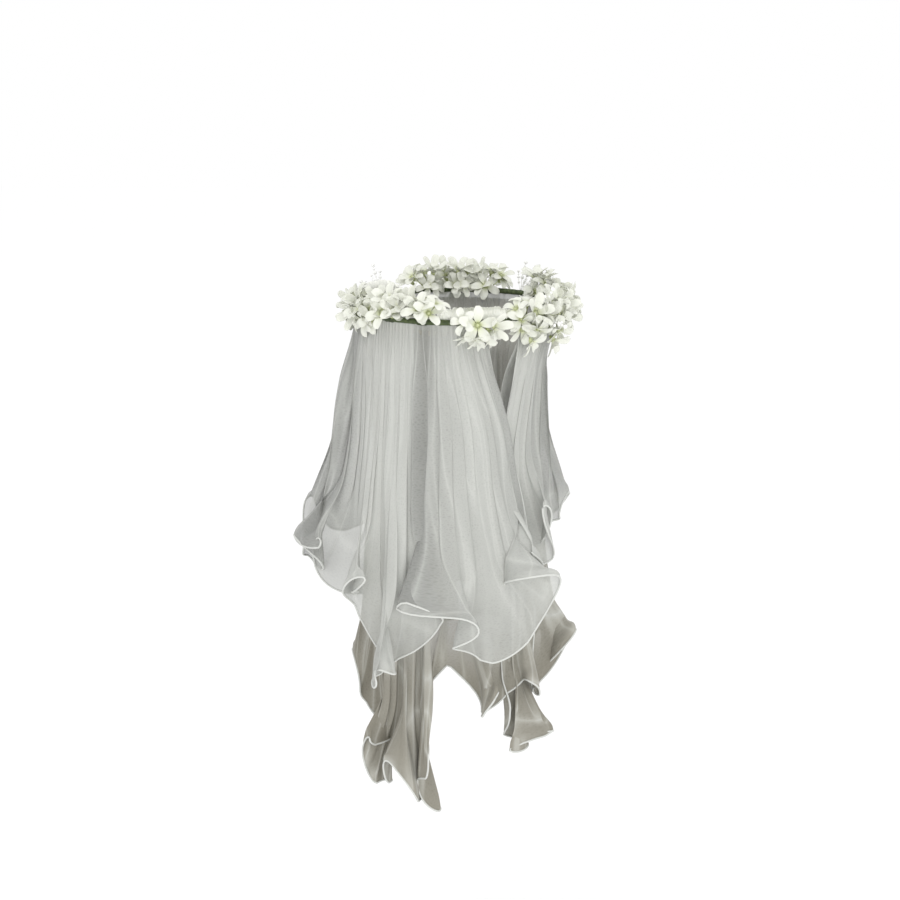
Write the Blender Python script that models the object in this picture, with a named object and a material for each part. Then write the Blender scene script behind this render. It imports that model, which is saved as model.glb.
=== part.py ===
"""Flower crown with a two-tier gathered veil.

Row frame: metres, +Z up, origin at the middle of the hoop, the face side towards -Y.
Polar angles are counted from +X, so 270 degrees is the middle of the face side.
"""

import math

import bmesh
import bpy
from mathutils import Quaternion, Vector

# Driving dimensions, in metres and degrees.
HEAD_GIRTH = 0.525
CLEARANCE = 0.0003
HOOP_SIDES = 36

WIRE_RADIUS = 0.0012
WIRE_END_GAP = 0.0008
TAPE_WALL = 0.0008
HEADER_WALL = 0.0007
HEADER_DEPTH = 0.0092
HEADER_HALF_WIDTH = 0.0026
COLLAR_WALL = 0.0008
COLLAR_LENGTH = 0.0090
COLLAR_REACH = 25.0
RIBBON_WALL = 0.0006
RIBBON_TOP = 0.0100
RIBBON_BOTTOM = -0.0020

SPLICE_ANGLE = 50.0
VEIL_START, VEIL_SWEEP = 305.0, 340.0
RIBBONS = {"satin_ribbon_near": (255.0, 305.0), "satin_ribbon_left": (125.0, 175.0)}

STEM_RADIUS = 0.0008
STEM_LENGTH = 0.0105
CALYX_RADIUS = 0.0019
THROAT_RADIUS = 0.0026
THROAT_LENGTH = 0.0050
PETAL_COUNT = 5
PETAL_REACH = 0.0105
PETAL_HALF_ANGLE = 28.0
PETAL_LIFT = 0.70
PETAL_WALL = 0.0008
BEAD_RADIUS = 0.0019
BEAD_STEM_RADIUS = 0.0005
BEAD_STEM_LENGTH = 0.0300

VEIL_WALL = 0.0010
PLEATS = 16
COLUMNS_PER_PLEAT = 4
PLEAT_DEPTH = 0.0085
TIER_OFFSET = 0.0014
SLIT_DEPTH = 0.080
SLIT_ANGLE = 6.0
CORNER_SHARE = 0.03
CORNER_RISE = 0.25
HEM_RADIUS = 0.0007

# How far each tier hangs below the header, by polar angle, on from the front slit and once round.
UPPER_HEM = {305: 0.235, 335: 0.205, 360: 0.185, 450: 0.250, 540: 0.205, 570: 0.255, 595: 0.315, 645: 0.250}
LOWER_HEM = {305: 0.380, 330: 0.385, 360: 0.330, 450: 0.300, 540: 0.340, 580: 0.428, 605: 0.428, 632: 0.290, 645: 0.320}
# How far each tier stands out from the hoop at its lowest, on the wearer's right, the back and the left.
UPPER_FLARE = (0.002, 0.026, 0.056)
LOWER_FLARE = (0.000, 0.000, 0.002)

# Each spray: its place round the hoop, how many flowers it has, and how far their middle points
# above the horizontal.
SPRAYS = {
    190: (3, 8.0),
    210: (3, 26.0),
    230: (2, 28.0),
    250: (2, 56.0),
    280: (2, -26.0),
    310: (3, 26.0),
    330: (3, 4.0),
    350: (3, 26.0),
    10: (3, 8.0),
    30: (3, 26.0),
    70: (2, 36.0),
    90: (3, 26.0),
    110: (2, 34.0),
}
LEAN = 9.0
BEAD_SPRAYS = {320: (60.0, -12.0), 50: (82.0, 30.0), 140: (74.0, 20.0)}

# Sizes that follow from those above.
STEP = 360.0 / HOOP_SIDES
TAPE_INNER = WIRE_RADIUS + CLEARANCE
TAPE_OUTER = TAPE_INNER + TAPE_WALL
HEADER_INNER = TAPE_OUTER + CLEARANCE
HEADER_OUTER = HEADER_INNER + HEADER_WALL
COLLAR_INNER = HEADER_OUTER + CLEARANCE
COLLAR_OUTER = COLLAR_INNER + COLLAR_WALL
RIBBON_OUTER = COLLAR_OUTER + CLEARANCE
RIBBON_INNER = RIBBON_OUTER + RIBBON_WALL
HOOP_RADIUS = HEAD_GIRTH / (2 * math.pi) + RIBBON_INNER
HEADER_DROP = HEADER_DEPTH + CLEARANCE
FLOWER_LENGTH = STEM_LENGTH + CLEARANCE + THROAT_LENGTH + PETAL_WALL + PETAL_LIFT * (PETAL_REACH - THROAT_RADIUS)
FLOWER_SPREAD = 2 * math.degrees(math.atan((PETAL_REACH + CLEARANCE) / FLOWER_LENGTH))

MATERIALS = {
    "steel_wire": ((0.55, 0.55, 0.56), 0.35, 1.0),
    "floral_tape": ((0.055, 0.085, 0.025), 0.75, 0.0),
    "stem_green": ((0.30, 0.36, 0.13), 0.6, 0.0),
    "petal_silk": ((0.84, 0.85, 0.80), 0.65, 0.0),
    "clear_bead": ((0.88, 0.89, 0.90), 0.12, 0.0),
    "satin_ribbon": ((0.86, 0.86, 0.80), 0.4, 0.0),
    "veil_tulle": ((0.66, 0.67, 0.65), 0.8, 0.0),
    "hem_cord": ((0.90, 0.90, 0.88), 0.5, 0.0),
}


def clear_scene():
    for old in list(bpy.data.objects):
        bpy.data.objects.remove(old)


def material(name):
    found = bpy.data.materials.get(name)
    if found:
        return found
    colour, roughness, metallic = MATERIALS[name]
    made = bpy.data.materials.new(name)
    made.use_nodes = True
    shader = made.node_tree.nodes["Principled BSDF"]
    shader.inputs["Base Color"].default_value = (*colour, 1.0)
    shader.inputs["Roughness"].default_value = roughness
    shader.inputs["Metallic"].default_value = metallic
    return made


def add_object(name, bm, finish, sharp_angle=40.0):
    bmesh.ops.recalc_face_normals(bm, faces=bm.faces)
    mesh = bpy.data.meshes.new(name)
    bm.to_mesh(mesh)
    bm.free()
    mesh.shade_smooth()
    mesh.set_sharp_from_angle(angle=math.radians(sharp_angle))
    mesh.materials.append(material(finish))
    obj = bpy.data.objects.new(name, mesh)
    bpy.context.scene.collection.objects.link(obj)
    return obj


def hoop_point(angle, out, up):
    """A point out from the hoop's centreline and above it. The hoop is a ring of straight sides."""
    from_middle = math.radians((angle % STEP) - STEP if angle % STEP > STEP / 2 else angle % STEP)
    side_shrink = math.cos(math.radians(STEP / 2)) / math.cos(from_middle)
    radius = (HOOP_RADIUS + out) * side_shrink
    turn = math.radians(angle)
    return Vector((radius * math.cos(turn), radius * math.sin(turn), up))


def corner_angles(first, last):
    """The angles of the hoop's corners between two angles, with both ends."""
    corners = [STEP / 2 + STEP * k for k in range(3 * HOOP_SIDES)]
    return [first] + [a for a in corners if first + 0.01 < a < last - 0.01] + [last]


def hoop_sweep(loops, angles):
    """A solid that follows the hoop. The first loop of its section is outside, a second one inside."""
    bm = bmesh.new()
    skins = []
    for loop in loops:
        rings = [[bm.verts.new(hoop_point(a, *p)) for p in loop] for a in angles]
        count = len(loop)
        for near, far in zip(rings, rings[1:]):
            for k in range(count):
                j = (k + 1) % count
                bm.faces.new((near[k], near[j], far[j], far[k]))
        skins.append(rings)
    for end in (0, -1):
        outside = skins[0][end]
        if len(skins) == 1:
            bm.faces.new(outside)
            continue
        inside = skins[1][end]
        for k in range(len(outside)):
            j = (k + 1) % len(outside)
            bm.faces.new((outside[k], outside[j], inside[j], inside[k]))
    return bm


def circle(radius, sides, first=0.0, last=360.0):
    """Points on a circle in the hoop's section. A part circle has both its ends."""
    whole = last - first >= 360.0
    gaps = sides if whole else sides - 1
    turns = [math.radians(first + (last - first) * k / gaps) for k in range(sides)]
    return [(radius * math.cos(t), radius * math.sin(t)) for t in turns]


def degrees_along_hoop(length):
    return math.degrees(length / HOOP_RADIUS)


# --- The hoop -------------------------------------------------------------------------------


def make_wire_hoop():
    half_gap = degrees_along_hoop(WIRE_END_GAP / 2)
    angles = corner_angles(SPLICE_ANGLE + half_gap, SPLICE_ANGLE + 360.0 - half_gap)
    add_object("hoop_wire", hoop_sweep([circle(WIRE_RADIUS, 6)], angles), "steel_wire")


def make_ferrule():
    half = STEP / 2 - degrees_along_hoop(CLEARANCE)
    section = [circle(TAPE_OUTER, 8), circle(TAPE_INNER, 8)]
    bm = hoop_sweep(section, [SPLICE_ANGLE - half, SPLICE_ANGLE + half])
    add_object("wire_ferrule", bm, "steel_wire")


def make_floral_tape():
    angles = corner_angles(SPLICE_ANGLE + STEP / 2, SPLICE_ANGLE + 360.0 - STEP / 2)
    section = [circle(TAPE_OUTER, 8), circle(TAPE_INNER, 8)]
    add_object("floral_tape_wrap", hoop_sweep(section, angles), "floral_tape")


def make_ribbon(name, first, last):
    """A length of satin sewn flat against the inside of the hoop."""
    section = [
        (-RIBBON_OUTER, RIBBON_BOTTOM),
        (-RIBBON_OUTER, RIBBON_TOP),
        (-RIBBON_INNER, RIBBON_TOP),
        (-RIBBON_INNER, RIBBON_BOTTOM),
    ]
    add_object(name, hoop_sweep([section], corner_angles(first, last)), "satin_ribbon")


def make_veil_header():
    """The bound top edges of both tiers: a saddle under the hoop with a flat bar below it."""
    wide, low = HEADER_HALF_WIDTH, HEADER_OUTER * math.sin(math.radians(42.0))
    saddle_out = circle(HEADER_OUTER, 2, -10.0, -38.0)
    saddle_in = circle(HEADER_INNER, 5, 190.0, 350.0)
    section = saddle_out + [(wide, -low), (wide, -HEADER_DEPTH), (-wide, -HEADER_DEPTH), (-wide, -low)]
    section += [(-x, y) for x, y in reversed(saddle_out)] + saddle_in
    angles = corner_angles(VEIL_START, VEIL_START + VEIL_SWEEP)
    add_object("veil_header", hoop_sweep([section], angles), "veil_tulle")


# --- Flower sprays --------------------------------------------------------------------------


def spray_axes(angle):
    """The middle of a hoop side, with its outward, along and up directions."""
    centre = hoop_point(angle, 0.0, 0.0)
    outward = Vector((math.cos(math.radians(angle)), math.sin(math.radians(angle)), 0.0))
    up = Vector((0.0, 0.0, 1.0))
    return centre, outward, up.cross(outward), up


def direction(angle, lift, lean):
    _, outward, along, up = spray_axes(angle)
    lift, lean = math.radians(lift), math.radians(lean)
    in_section = outward * math.cos(lift) + up * math.sin(lift)
    return in_section * math.cos(lean) + along * math.sin(lean)


def flower_lean(angle, place):
    """A steady scatter of sideways leans, so that no two sprays look alike."""
    return LEAN * math.sin(math.radians(angle * 2.3 + place * 140.0))


def collar(angle):
    """A strip of tape bent over the hoop, open below for the veil."""
    half = degrees_along_hoop(COLLAR_LENGTH / 2)
    outer = circle(COLLAR_OUTER, 8, -COLLAR_REACH, 180.0 + COLLAR_REACH)
    inner = circle(COLLAR_INNER, 8, 180.0 + COLLAR_REACH, -COLLAR_REACH)
    return hoop_sweep([outer + inner], [angle - half, angle + half])


def stem(angle, lift, lean, stations, sides=5):
    """A tapered stem from the collar's wall, as (distance from the hoop, radius) stations."""
    centre = hoop_point(angle, 0.0, 0.0)
    final = direction(angle, lift, lean)
    rooted = direction(angle, min(max(lift, 6.0 - COLLAR_REACH), 174.0 + COLLAR_REACH), 0.0)
    first = COLLAR_INNER + COLLAR_WALL * 0.6
    bm = bmesh.new()
    rings = []
    for distance, radius in stations:
        share = min(1.0, (distance - first) / (STEM_LENGTH * 0.6 - first))
        heading = rooted.lerp(final, share).normalized()
        around = heading.to_track_quat("Z", "Y")
        ring = []
        for k in range(sides):
            turn = 2 * math.pi * k / sides
            offset = Vector((radius * math.cos(turn), radius * math.sin(turn), 0.0))
            ring.append(bm.verts.new(centre + heading * distance + around @ offset))
        rings.append(ring)
    for near, far in zip(rings, rings[1:]):
        for k in range(sides):
            j = (k + 1) % sides
            bm.faces.new((near[k], near[j], far[j], far[k]))
    bm.faces.new(rings[0])
    bm.faces.new(rings[-1])
    return bm


def calyx_stations():
    first = COLLAR_INNER + COLLAR_WALL * 0.6
    neck = STEM_LENGTH - 2.2 * CALYX_RADIUS
    return [(first, STEM_RADIUS), (neck, STEM_RADIUS), (STEM_LENGTH, CALYX_RADIUS)]


def bead_stations():
    """A thin wire with three beads threaded along its outer half."""
    stations = [(COLLAR_INNER + COLLAR_WALL * 0.6, BEAD_STEM_RADIUS)]
    for share in (0.5, 0.75, 1.0):
        middle = BEAD_STEM_LENGTH * share
        stations.append((middle - BEAD_RADIUS, BEAD_STEM_RADIUS))
        stations.append((middle, BEAD_RADIUS))
        stations.append((middle + BEAD_RADIUS, BEAD_STEM_RADIUS))
    return stations


def make_stem_group(name, angle, stems, finish):
    """The collar and its stems, made one solid."""
    group = add_object(name, collar(angle), finish)
    for place, part in enumerate(stems, start=1):
        tool = add_object(f"{name}_branch_{place}", part, finish)
        tool.hide_render = True
        tool.display_type = "WIRE"
        union = group.modifiers.new(f"branch_{place}", "BOOLEAN")
        union.operation = "UNION"
        union.object = tool


def corolla():
    """Five petals round a tapered throat, along +Z, with the throat's foot at the origin."""
    bm = bmesh.new()
    sector = 360.0 / PETAL_COUNT
    outline, petals = [], []
    shoulder, tip = PETAL_REACH * 0.66, PETAL_REACH
    for k in range(PETAL_COUNT):
        middle = sector * k
        corners = [
            (THROAT_RADIUS, -sector / 2),
            (shoulder, -PETAL_HALF_ANGLE),
            (tip, -PETAL_HALF_ANGLE * 0.4),
            (tip, PETAL_HALF_ANGLE * 0.4),
            (shoulder, PETAL_HALF_ANGLE),
        ]
        turned = [(r, math.radians(middle + a)) for r, a in corners]
        made = [bm.verts.new((r * math.cos(t), r * math.sin(t), 0.0)) for r, t in turned]
        petals.append(made)
        outline.append(made[0])
    faces = [bm.faces.new(outline)]
    for k, petal in enumerate(petals):
        faces.append(bm.faces.new(petal + [outline[(k + 1) % PETAL_COUNT]]))
    for vert in bm.verts:
        beyond = vert.co.to_2d().length - THROAT_RADIUS
        vert.co.z = THROAT_LENGTH + PETAL_WALL + PETAL_LIFT * beyond
    plate = bmesh.ops.extrude_face_region(bm, geom=faces)["geom"]
    lower = [g for g in plate if isinstance(g, bmesh.types.BMVert)]
    bmesh.ops.translate(bm, verts=lower, vec=(0.0, 0.0, -PETAL_WALL))
    bottom = min(
        (g for g in plate if isinstance(g, bmesh.types.BMFace)),
        key=lambda face: face.calc_center_median().to_2d().length,
    )
    throat = bmesh.ops.extrude_discrete_faces(bm, faces=[bottom])["faces"][0]
    foot = CALYX_RADIUS * 0.8 / THROAT_RADIUS
    for vert in throat.verts:
        vert.co = Vector((vert.co.x * foot, vert.co.y * foot, 0.0))
    bmesh.ops.recalc_face_normals(bm, faces=bm.faces)
    return bm


def make_flower(name, angle, lift, lean, spin):
    obj = add_object(name, corolla(), "petal_silk")
    heading = direction(angle, lift, lean)
    obj.location = hoop_point(angle, 0.0, 0.0) + heading * (STEM_LENGTH + CLEARANCE)
    obj.rotation_mode = "QUATERNION"
    obj.rotation_quaternion = heading.to_track_quat("Z", "Y") @ Quaternion((0.0, 0.0, 1.0), math.radians(spin))


def make_sprays():
    """Sprays of flowers side by side, each flower turned from the next by the width of its bell."""
    for number, (angle, (count, middle_lift)) in enumerate(SPRAYS.items(), start=1):
        stems = []
        for place in range(count):
            lift = middle_lift + FLOWER_SPREAD * ((count - 1) / 2 - place)
            lean = flower_lean(angle, place)
            stems.append(stem(angle, lift, lean, calyx_stations()))
            name = f"flower_{number:02d}_{place + 1}"
            make_flower(name, angle, lift, lean, spin=31.0 * number + 17.0 * place)
        make_stem_group(f"spray_stem_{number:02d}", angle, stems, "stem_green")


def make_bead_sprays():
    for number, (angle, lifts) in enumerate(BEAD_SPRAYS.items(), start=1):
        stems = [stem(angle, lift, 0.0, bead_stations(), sides=6) for lift in lifts]
        make_stem_group(f"bead_spray_{number}", angle, stems, "clear_bead")


# --- The veil -------------------------------------------------------------------------------


def between(table, angle):
    """A value read from a table of polar angles, eased from one entry to the next."""
    angles = sorted(table)
    for low, high in zip(angles, angles[1:]):
        if angle <= high:
            share = max(0.0, (angle - low) / (high - low))
            share = share * share * (3.0 - 2.0 * share)
            return table[low] + (table[high] - table[low]) * share
    return table[angles[-1]]


class Tier:
    """One gathered sheet. u runs round the head from one front edge to the other, v down it."""

    def __init__(self, name, out, hem, flare):
        self.name = name
        self.out = out
        self.hem = hem
        self.flare_right, self.flare_back, self.flare_left = flare
        self.longest = max(hem.values())

    def length(self, u):
        """How far the sheet hangs, with a round corner at each front edge."""
        cut = between(self.hem, VEIL_START + VEIL_SWEEP * u)
        edge = min(1.0, min(u, 1.0 - u) / CORNER_SHARE)
        round_off = math.sqrt(max(0.0, 1.0 - (1.0 - edge) ** 2))
        return cut * (1.0 - CORNER_RISE * (1.0 - round_off))

    def point(self, u, v):
        drop = self.length(u) * v
        closing = (360.0 - VEIL_SWEEP - SLIT_ANGLE) * min(1.0, drop / SLIT_DEPTH)
        angle = math.radians(VEIL_START - closing / 2 + (VEIL_SWEEP + closing) * u)
        share = drop / self.longest
        sideways = (self.flare_right - self.flare_left) / 2 * math.cos(angle)
        middle = (self.flare_right + self.flare_left) / 2
        depthwise = (self.flare_back - middle) * math.sin(angle) ** 2
        wave = math.sin(2 * math.pi * PLEATS * u + math.pi / 2)
        swell = PLEAT_DEPTH * share**0.8 * wave + (middle + sideways + depthwise) * share
        radius = HOOP_RADIUS + self.out + swell
        return Vector((radius * math.cos(angle), radius * math.sin(angle), -HEADER_DROP - drop))


def make_tier(tier, rows):
    columns = PLEATS * COLUMNS_PER_PLEAT
    bm = bmesh.new()
    grid = [
        [bm.verts.new(tier.point(c / columns, r / rows)) for c in range(columns + 1)]
        for r in range(rows + 1)
    ]
    for upper, lower in zip(grid, grid[1:]):
        for c in range(columns):
            bm.faces.new((upper[c], upper[c + 1], lower[c + 1], lower[c]))
    obj = add_object(tier.name, bm, "veil_tulle")
    thicken = obj.modifiers.new("thickness", "SOLIDIFY")
    thicken.thickness = VEIL_WALL
    thicken.offset = 0.0


def free_edge(rows):
    """(u, v) down one front edge, along the hem and up the other, each with a place further in."""
    columns = PLEATS * COLUMNS_PER_PLEAT
    inset, rise = 1.0 / columns, 1.0 / rows
    down = [(0.0, r / rows) for r in range(1, rows)]
    left = [(place, (inset, place[1])) for place in down]
    right = [((1.0, v), (1.0 - inset, v)) for _, v in reversed(down)]
    along = [(c / columns, 1.0) for c in range(columns + 1)]
    hem = [(place, (min(max(place[0], inset), 1.0 - inset), 1.0 - rise)) for place in along]
    return left + hem + right


def away_from(inner, start, end):
    """The direction square to an edge that leads away from a point inside the sheet."""
    along = (end - start).normalized()
    outward = (start + end) / 2 - inner
    return (outward - outward.dot(along) * along).normalized()


def make_hem(tier, name, rows):
    """A cord that lies just off the sheet's free edge, in the plane of the cloth."""
    edge = free_edge(rows)
    points = [tier.point(*place) for place, _ in edge]
    inner = [tier.point(*further_in) for _, further_in in edge]
    sides = [
        away_from((inner[k] + inner[k + 1]) / 2, points[k], points[k + 1]) for k in range(len(points) - 1)
    ]
    path = []
    for k, point in enumerate(points):
        before, after = sides[max(k - 1, 0)], sides[min(k, len(sides) - 1)]
        outward = (before + after).normalized()
        reach = (HEM_RADIUS + CLEARANCE + VEIL_WALL / 2) / outward.dot(after)
        path.append(point + outward * reach)
    curve = bpy.data.curves.new(name, "CURVE")
    curve.dimensions = "3D"
    spline = curve.splines.new("POLY")
    spline.points.add(len(path) - 1)
    for place, point in zip(spline.points, path):
        place.co = (*point, 1.0)
    curve.bevel_depth = HEM_RADIUS
    curve.bevel_resolution = 0
    curve.use_fill_caps = True
    curve.materials.append(material("hem_cord"))
    obj = bpy.data.objects.new(name, curve)
    bpy.context.scene.collection.objects.link(obj)


def make_veil():
    upper = Tier("veil_upper_tier", TIER_OFFSET, UPPER_HEM, UPPER_FLARE)
    lower = Tier("veil_lower_tier", -TIER_OFFSET, LOWER_HEM, LOWER_FLARE)
    for tier, rows in ((upper, 5), (lower, 6)):
        make_tier(tier, rows)
        make_hem(tier, tier.name.replace("tier", "hem"), rows)


clear_scene()
make_wire_hoop()
make_ferrule()
make_floral_tape()
for ribbon, (first_angle, last_angle) in RIBBONS.items():
    make_ribbon(ribbon, first_angle, last_angle)
make_veil_header()
make_sprays()
make_bead_sprays()
make_veil()
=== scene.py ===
"""A flower crown: a taped wire hoop with silk flowers and bead sprays, and two tiers of gathered veil."""

import math

import bpy
import numpy as np
from mathutils import Matrix, Vector


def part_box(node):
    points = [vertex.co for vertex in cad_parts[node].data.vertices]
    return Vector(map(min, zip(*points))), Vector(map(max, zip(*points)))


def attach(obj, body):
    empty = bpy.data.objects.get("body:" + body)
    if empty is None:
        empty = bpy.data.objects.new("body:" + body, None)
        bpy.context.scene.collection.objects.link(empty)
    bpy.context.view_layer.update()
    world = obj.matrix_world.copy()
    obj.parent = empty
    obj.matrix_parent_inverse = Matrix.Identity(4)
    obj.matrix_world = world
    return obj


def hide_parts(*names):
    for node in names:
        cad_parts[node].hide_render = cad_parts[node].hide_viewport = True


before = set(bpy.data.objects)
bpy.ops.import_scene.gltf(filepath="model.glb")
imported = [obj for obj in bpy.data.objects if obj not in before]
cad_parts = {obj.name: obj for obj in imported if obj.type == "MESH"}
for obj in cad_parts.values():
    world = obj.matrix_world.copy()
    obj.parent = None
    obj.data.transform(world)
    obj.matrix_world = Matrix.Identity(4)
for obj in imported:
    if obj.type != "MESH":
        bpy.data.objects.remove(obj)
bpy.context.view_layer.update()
bpy.ops.object.select_all(action="DESELECT")

tape_low, tape_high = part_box("floral_tape_wrap")
header_low, header_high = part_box("veil_header")
TAPE_RADIUS = (tape_high.z - tape_low.z) / 2
HOOP_RADIUS = (tape_high.x - tape_low.x) / 2 - TAPE_RADIUS

# Angles round the hoop are in degrees, counted from +X, and the front is at 270. All lengths are in metres.
# The veil starts at the first of these and ends at the second, with its slit between them.
SLIT_END, SLIT_START = 305.0, 645.0

# How much cloth goes into one pleat at the hoop, and how much hem into one curl.
PLEAT_CLOTH = 0.040
CURL_CLOTH = 0.092

# The flowers' stems, and the bead sprays: where each one stands, and how steeply its two bunches rise.
STEM_LENGTH = 0.0105
BEAD_REACH = 0.0280
BEAD_SPRAYS = {320.0: (60.0, -12.0), 50.0: (74.0, 30.0), 140.0: (66.0, 20.0)}

# The flowers in this part of the hoop stand up higher, and those in the other two have one bloom more.
RAISED_FLOWERS = (215.0, 262.0)
TOP_BLOOMS = (222.0, 262.0)
HANGING_BLOOMS = (300.0, 345.0)

ORIGIN = (0.0, 0.0, 0.0)
UP = Vector((0.0, 0.0, 1.0))


# --- Camera, floor and light ----------------------------------------------------------------


def place_camera():
    aim = Vector((-0.0070, 0.0, -0.1300))
    lift = math.radians(14.0)
    reach = 1.62
    data = bpy.data.cameras.new("camera")
    data.lens = 73.0
    data.sensor_width = 36.0
    camera = bpy.data.objects.new("camera", data)
    camera.location = aim + Vector((0.0, -math.cos(lift), math.sin(lift))) * reach
    camera.rotation_euler = (math.radians(90.0) - lift, 0.0, 0.0)
    bpy.context.scene.collection.objects.link(camera)
    bpy.context.scene.camera = camera


def area_light(name, place, aim, size, power):
    data = bpy.data.lights.new(name, "AREA")
    data.shape = "DISK"
    data.size = size
    data.energy = power
    light = bpy.data.objects.new(name, data)
    light.location = place
    light.rotation_mode = "QUATERNION"
    light.rotation_quaternion = (Vector(aim) - Vector(place)).to_track_quat("-Z", "Y")
    bpy.context.scene.collection.objects.link(light)


def light_studio():
    world = bpy.data.worlds.new("studio")
    bpy.context.scene.world = world
    world.use_nodes = True
    sky = world.node_tree.nodes["Background"]
    sky.inputs["Color"].default_value = (1.0, 1.0, 1.0, 1.0)
    sky.inputs["Strength"].default_value = 1.0
    area_light("key", (-0.5, -0.8, 1.4), (0.0, 0.0, -0.05), 0.6, 6.0)
    area_light("fill", (0.4, -1.4, 0.1), (0.0, 0.05, 0.0), 0.8, 5.5)
    bpy.context.scene.view_settings.view_transform = "Standard"


def lay_floor():
    bpy.ops.mesh.primitive_plane_add(size=14.0, location=(0.0, 0.0, -0.62))
    floor = bpy.context.object
    floor.name = "studio_floor"
    paint = bpy.data.materials.new("pale_floor")
    paint.use_nodes = True
    shader = paint.node_tree.nodes["Principled BSDF"]
    shader.inputs["Base Color"].default_value = (1.0, 1.0, 1.0, 1.0)
    shader.inputs["Roughness"].default_value = 0.9
    shader.inputs["Specular IOR Level"].default_value = 0.0
    floor.data.materials.append(paint)


# --- Finishes -------------------------------------------------------------------------------


class Finish:
    """A material's node tree, with short calls to add nodes and join them."""

    def __init__(self, name, roughness, metallic=0.0):
        self.material = bpy.data.materials.new(name)
        self.material.use_nodes = True
        self.tree = self.material.node_tree
        self.shader = self.tree.nodes["Principled BSDF"]
        self.shader.inputs["Roughness"].default_value = roughness
        self.shader.inputs["Metallic"].default_value = metallic

    def node(self, kind, **values):
        made = self.tree.nodes.new(kind)
        for name, value in values.items():
            if hasattr(made, name):
                setattr(made, name, value)
            else:
                made.inputs[name.replace("_", " ")].default_value = value
        return made

    def join(self, source, target):
        self.tree.links.new(source, target)

    def place(self, kind="Object", scale=(1.0, 1.0, 1.0)):
        coordinates = self.node("ShaderNodeTexCoord")
        mapping = self.node("ShaderNodeMapping")
        mapping.inputs["Scale"].default_value = scale
        self.join(coordinates.outputs[kind], mapping.inputs["Vector"])
        return mapping.outputs["Vector"]

    def noise(self, vector, scale, detail=3.0):
        made = self.node("ShaderNodeTexNoise", Scale=scale, Detail=detail)
        self.join(vector, made.inputs["Vector"])
        return made.outputs["Fac"]

    def ramp(self, factor, stops):
        made = self.node("ShaderNodeValToRGB")
        elements = made.color_ramp.elements
        while len(elements) < len(stops):
            elements.new(0.5)
        for element, (position, colour) in zip(elements, stops):
            element.position = position
            element.color = (*colour, 1.0)
        self.join(factor, made.inputs["Fac"])
        return made.outputs["Color"]

    def maths(self, operation, first, second):
        made = self.node("ShaderNodeMath", operation=operation)
        for socket, value in zip(made.inputs, (first, second)):
            if isinstance(value, float):
                socket.default_value = value
            else:
                self.join(value, socket)
        return made.outputs["Value"]

    def attribute(self, name):
        return self.node("ShaderNodeAttribute", attribute_name=name).outputs["Fac"]

    def swing(self, pattern, amount):
        """A noise that goes to both sides of zero, so that it lightens as often as it darkens."""
        return self.maths("MULTIPLY", self.maths("SUBTRACT", pattern, 0.5), amount)

    def thin_lines(self, pattern, sharpness):
        """Thin wandering lines, where a noise passes through its middle value."""
        off_middle = self.maths("ABSOLUTE", self.maths("SUBTRACT", pattern, 0.5), 0.0)
        off_line = self.maths("MULTIPLY", off_middle, 2.0)
        return self.maths("POWER", self.maths("SUBTRACT", 1.0, off_line), sharpness)

    def bump(self, height, strength, distance):
        made = self.node("ShaderNodeBump", Strength=strength, Distance=distance)
        self.join(height, made.inputs["Height"])
        self.join(made.outputs["Normal"], self.shader.inputs["Normal"])

    def paint(self, colour):
        self.join(colour, self.shader.inputs["Base Color"])

    def set(self, **values):
        for name, value in values.items():
            self.shader.inputs[name.replace("_", " ")].default_value = value


def grey(value, warmth=0.0):
    """A net grey, with the slight green of undyed nylon, or browner where it is warmer."""
    return (value * (0.985 + warmth), value, value * (0.945 - 1.6 * warmth))


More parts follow.
